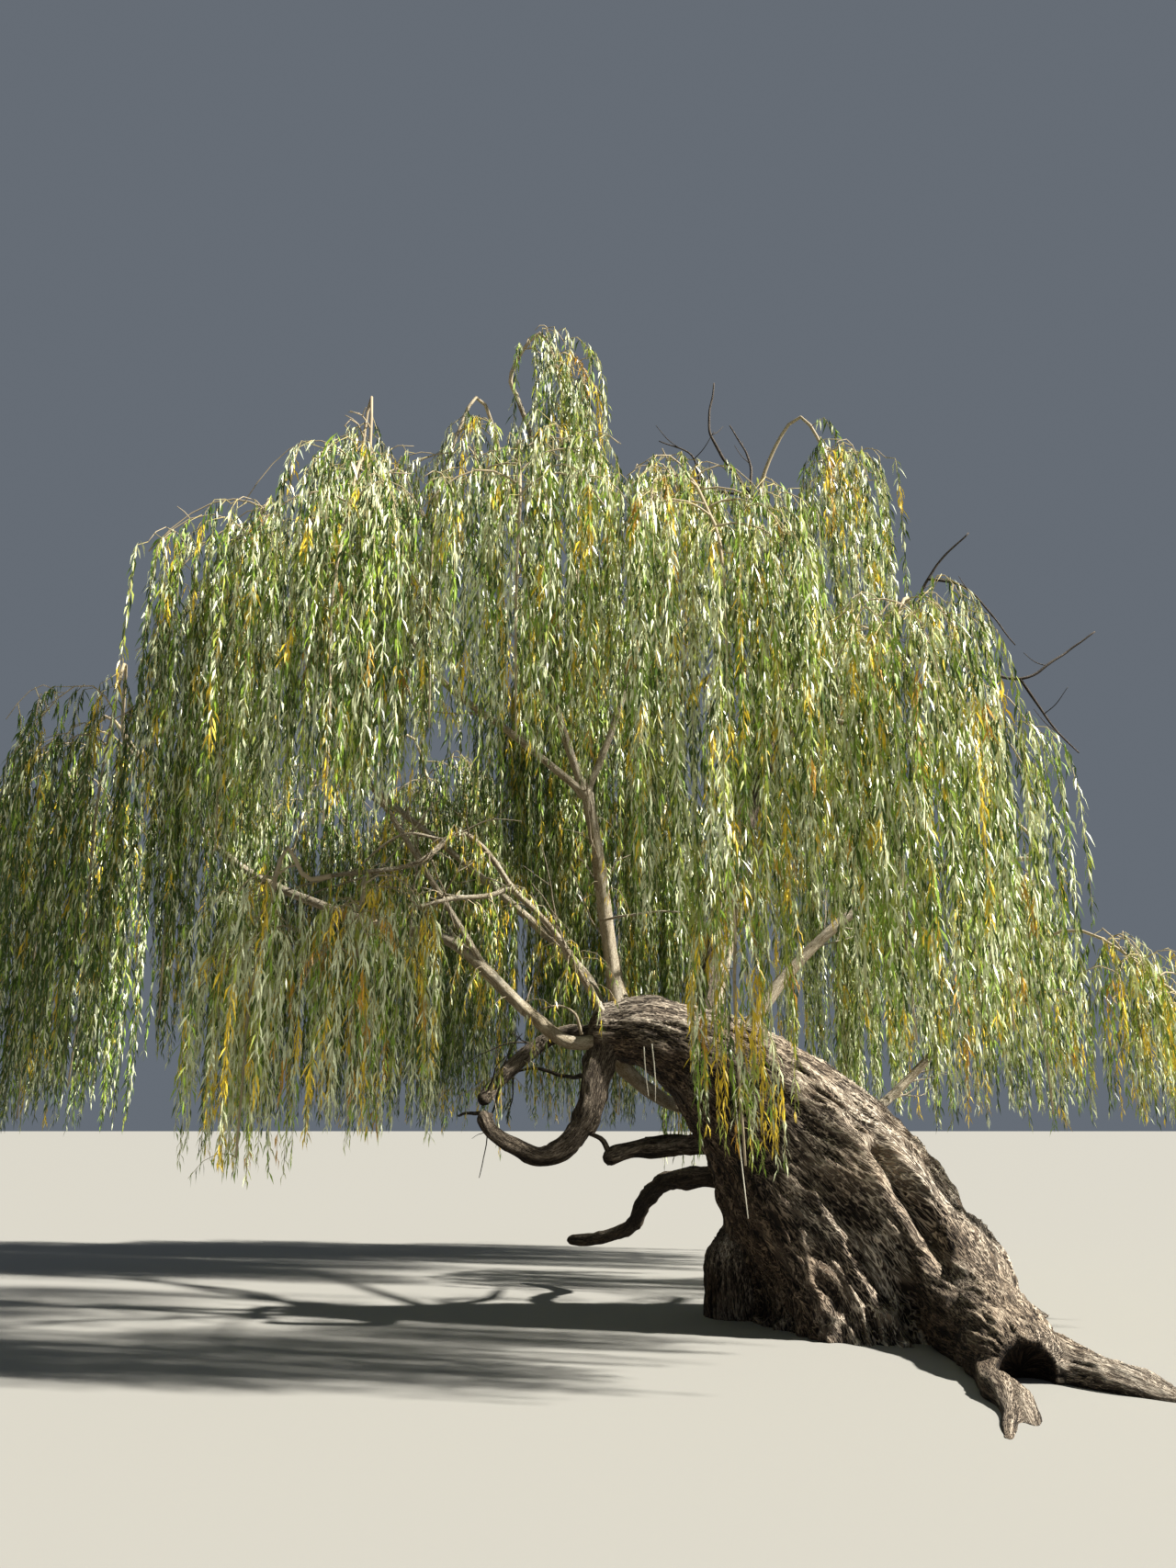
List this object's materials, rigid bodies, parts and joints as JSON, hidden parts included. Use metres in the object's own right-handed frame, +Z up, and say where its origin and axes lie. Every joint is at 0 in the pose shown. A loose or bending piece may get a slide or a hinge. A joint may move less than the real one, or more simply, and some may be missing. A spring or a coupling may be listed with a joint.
{
  "type": "weeping willow tree",
  "caption": "Old weeping willow with a heavy furrowed trunk leaning from a flared root to a knuckle, boughs rising from it and foliage hanging in curtains round an open space",
  "frame": {"origin": "the middle of the flat cut under the trunk, at ground level", "axes": "Z up out of the ground; the trunk leans towards -X; the side that the picture shows faces -Y"},
  "size_m": [10.5074, 7.605, 7.9743],
  "materials": {
    "trunk_bark": "deeply furrowed grey-brown bark with pale worn ridges",
    "rough_bough_bark": "rough dark brown bark on the low heavy boughs",
    "pale_bough_bark": "smoother pale tan bark with fine lengthwise cracks",
    "dead_wood": "bare grey-brown dead wood",
    "foliage": "narrow silver-green leaves turning yellow, matt to satin"
  },
  "bodies": {
    "root": {"trunk": "trunk_bark", "bough_back_left": "pale_bough_bark", "bough_back_low": "rough_bough_bark", "bough_back_mid": "pale_bough_bark", "bough_back_right": "pale_bough_bark", "bough_crown_left": "pale_bough_bark", "bough_crown_mid": "pale_bough_bark", "bough_crown_right": "pale_bough_bark", "bough_droop": "rough_bough_bark", "bough_hook_down": "rough_bough_bark", "bough_hook_left": "rough_bough_bark", "bough_leader": "pale_bough_bark", "bough_left_arch": "pale_bough_bark", "bough_left_far": "pale_bough_bark", "bough_left_low": "pale_bough_bark", "bough_left_rise": "pale_bough_bark", "bough_left_slender": "pale_bough_bark", "bough_left_thick": "pale_bough_bark", "bough_right_arm": "pale_bough_bark", "bough_right_far": "pale_bough_bark", "bough_right_low": "pale_bough_bark", "bough_right_rise": "rough_bough_bark", "bough_top_right": "pale_bough_bark", "bough_under_arch": "pale_bough_bark", "bough_upright": "pale_bough_bark", "bough_veil": "pale_bough_bark", "stub_cut": "rough_bough_bark", "dead_spur_right": "dead_wood", "dead_spur_top": "dead_wood", "foliage_back": "foliage", "foliage_back_left": "foliage", "foliage_back_left_mid": "foliage", "foliage_back_right": "foliage", "foliage_crown_left": "foliage", "foliage_front_centre": "foliage", "foliage_front_far_right": "foliage", "foliage_front_left": "foliage", "foliage_front_right": "foliage", "foliage_inner_back": "foliage", "foliage_inner_right": "foliage", "foliage_left": "foliage", "foliage_left_far": "foliage", "foliage_left_tip": "foliage", "foliage_low_back": "foliage", "foliage_low_left": "foliage", "foliage_low_left_front": "foliage", "foliage_low_right": "foliage", "foliage_right_back": "foliage", "foliage_right_front": "foliage", "foliage_right_tip": "foliage", "foliage_shoulder_left": "foliage", "foliage_top": "foliage", "foliage_top_left": "foliage", "foliage_top_mid": "foliage", "foliage_top_right": "foliage", "foliage_veil": "foliage"}
  },
  "joints": []
}
